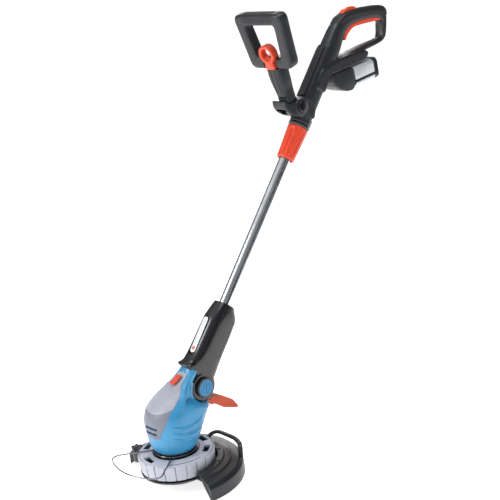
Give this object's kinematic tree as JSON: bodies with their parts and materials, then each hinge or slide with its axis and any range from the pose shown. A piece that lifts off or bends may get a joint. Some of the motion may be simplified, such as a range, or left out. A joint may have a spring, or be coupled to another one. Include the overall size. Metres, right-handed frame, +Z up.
{
  "type": "lawn edger",
  "caption": "Battery lawn edger and trimmer with telescoping tube, tilting motor head, guide wheel, wire plant guard, loop front handle and D-shaped rear grip.",
  "frame": {"origin": "centre of the bump knob's flat bottom face, on the ground", "axes": "+Z up along the spool axis, -Y towards the front wire guard, +Y towards the user, +X to the machine's left side"},
  "size_m": [0.256, 0.8244, 0.8496],
  "materials": {
    "black_shell": "fine textured",
    "black_soft": "soft grip, matt",
    "black_gloss": "smooth moulded",
    "blue_shell": "moulded, semi-gloss",
    "grey_cover": "moulded, satin",
    "grey_wheel": "moulded, satin",
    "orange": "moulded, semi-gloss",
    "pedal_orange": "moulded",
    "tube_metal": "drawn, bright anodised",
    "silver_shell": "silver lacquer",
    "steel": "bare",
    "spring_wire": "bright drawn wire",
    "white_label": "blank plate",
    "motor_metal": "zinc plated can",
    "board": "circuit board",
    "contact_brass": "plated contacts",
    "cell_wrap": "shrink wrap",
    "lead_black": "cable jacket",
    "line_yellow": "nylon line",
    "spool_grey": "moulded"
  },
  "bodies": {
    "handle": {"handle_shell_left": "black_shell", "handle_shell_right": "black_shell", "grip_overmould": "black_soft", "shank_strip": "black_soft", "shaft_collar": "black_gloss", "clamp_collet": "spool_grey", "trigger_switch": "spool_grey", "control_board": "board", "battery_bay": "black_shell", "contact_block": "contact_brass", "handle_screws": "steel", "bracket_bolt": "black_gloss"},
    "loop_handle": {"loop_frame": "black_shell", "loop_stem": "black_shell", "loop_grip": "black_soft", "loop_screws": "steel"},
    "ring_pull": {"pull_ring": "orange", "lock_rod": "steel"},
    "tube_clamp": {"clamp_sleeve": "orange"},
    "trigger_lever": {"trigger": "orange"},
    "lock_off": {"lock_off_button": "orange"},
    "battery": {"battery_case": "black_shell", "battery_shell_upper": "silver_shell", "battery_shell_lower": "silver_shell", "battery_cells": "cell_wrap"},
    "battery_release": {"battery_latch": "orange"},
    "lower_shaft": {"shaft_tube": "tube_metal", "lower_arm_left": "black_gloss", "lower_arm_right": "black_gloss", "label_plate": "white_label", "arm_screws": "steel", "pivot_pin": "steel", "pivot_cap_left": "blue_shell", "pivot_cap_right": "blue_shell", "coiled_lead": "lead_black"},
    "head": {"motor_housing_left": "blue_shell", "motor_housing_right": "blue_shell", "front_cover": "grey_cover", "vent_grille": "black_shell", "motor": "motor_metal", "motor_mount": "spool_grey", "shaft_bearing": "steel", "head_base": "black_gloss", "guard": "black_shell", "line_cutter": "steel", "housing_screws": "steel", "pedal_pin": "steel"},
    "pedal": {"foot_pedal": "pedal_orange"},
    "edging_slider": {"edging_latch": "orange"},
    "wheel": {"guide_wheel": "grey_wheel"},
    "bow": {"plant_bow": "spring_wire"},
    "spool": {"motor_shaft": "steel", "spool_carrier": "black_shell", "line_spool": "spool_grey", "wound_line": "line_yellow", "line_eyelets": "tube_metal", "feed_spring": "spring_wire"},
    "bump": {"bump_knob": "black_shell"},
    "guard_knob": {"star_knob": "black_shell"}
  },
  "joints": [
    {"name": "tube_extend", "type": "slide", "parent": "handle", "child": "lower_shaft", "axis": [0, -0.6374, -0.7705], "range_m": [-0.1, 0.06]},
    {"name": "clamp_turn", "type": "hinge", "parent": "handle", "child": "tube_clamp", "pos_m": [0, 0.39113, 0.57987], "axis": [0, 0.6374, 0.7705], "range_deg": [-10, 60]},
    {"name": "loop_tilt", "type": "hinge", "parent": "handle", "child": "loop_handle", "pos_m": [0, 0.4107, 0.6506], "axis": [1, 0, 0], "range_deg": [-23, 5]},
    {"name": "ring_pull_up", "type": "slide", "parent": "loop_handle", "child": "ring_pull", "axis": [0, -0.279, 0.9603], "range_m": [0, 0.006], "stiffness_N_per_m": 400, "springref_m": -0.003},
    {"name": "trigger_squeeze", "type": "hinge", "parent": "handle", "child": "trigger_lever", "pos_m": [0, 0.566, 0.765], "axis": [1, 0, 0], "range_deg": [0, 4], "stiffness_Nm_per_rad": 2, "springref_deg": -5.73},
    {"name": "lock_off_press", "type": "slide", "parent": "handle", "child": "lock_off", "axis": [0, 0, -1], "range_m": [0, 0.003], "stiffness_N_per_m": 300, "springref_m": -0.002},
    {"name": "battery_slide", "type": "slide", "parent": "handle", "child": "battery", "axis": [0, 0.9925, 0.1219], "range_m": [0, 0.09]},
    {"name": "battery_release_press", "type": "slide", "parent": "battery", "child": "battery_release", "axis": [0, -0.9925, -0.1219], "range_m": [0, 0.003], "stiffness_N_per_m": 300, "springref_m": -0.002},
    {"name": "head_tilt", "type": "hinge", "parent": "lower_shaft", "child": "head", "pos_m": [0, 0.072, 0.169], "axis": [1, 0, 0], "range_deg": [0, 30]},
    {"name": "pedal_press", "type": "hinge", "parent": "head", "child": "pedal", "pos_m": [0, 0.08, 0.129], "axis": [-1, 0, 0], "range_deg": [0, 8], "stiffness_Nm_per_rad": 1.5, "springref_deg": -5.73},
    {"name": "edging_slide", "type": "slide", "parent": "head", "child": "edging_slider", "axis": [0, 0.91, 0.4147], "range_m": [-0.004, 0.004]},
    {"name": "wheel_turn", "type": "hinge", "parent": "head", "child": "wheel", "pos_m": [0, 0, 0.055], "axis": [0, 0, 1], "continuous": true},
    {"name": "bow_swing", "type": "hinge", "parent": "head", "child": "bow", "pos_m": [0, 0, 0.065], "axis": [0, 0, 1], "range_deg": [0, 180]},
    {"name": "spool_spin", "type": "hinge", "parent": "head", "child": "spool", "pos_m": [0, 0, 0.06], "axis": [0, 0, 1], "continuous": true},
    {"name": "bump_press", "type": "slide", "parent": "spool", "child": "bump", "axis": [0, 0, 1], "range_m": [0, 0.005], "stiffness_N_per_m": 900, "springref_m": -0.004, "deforming": ["feed_spring"]},
    {"name": "guard_knob_turn", "type": "hinge", "parent": "head", "child": "guard_knob", "pos_m": [-0.08, -0.036, 0.055], "axis": [0, 0, 1], "continuous": true}
  ]
}
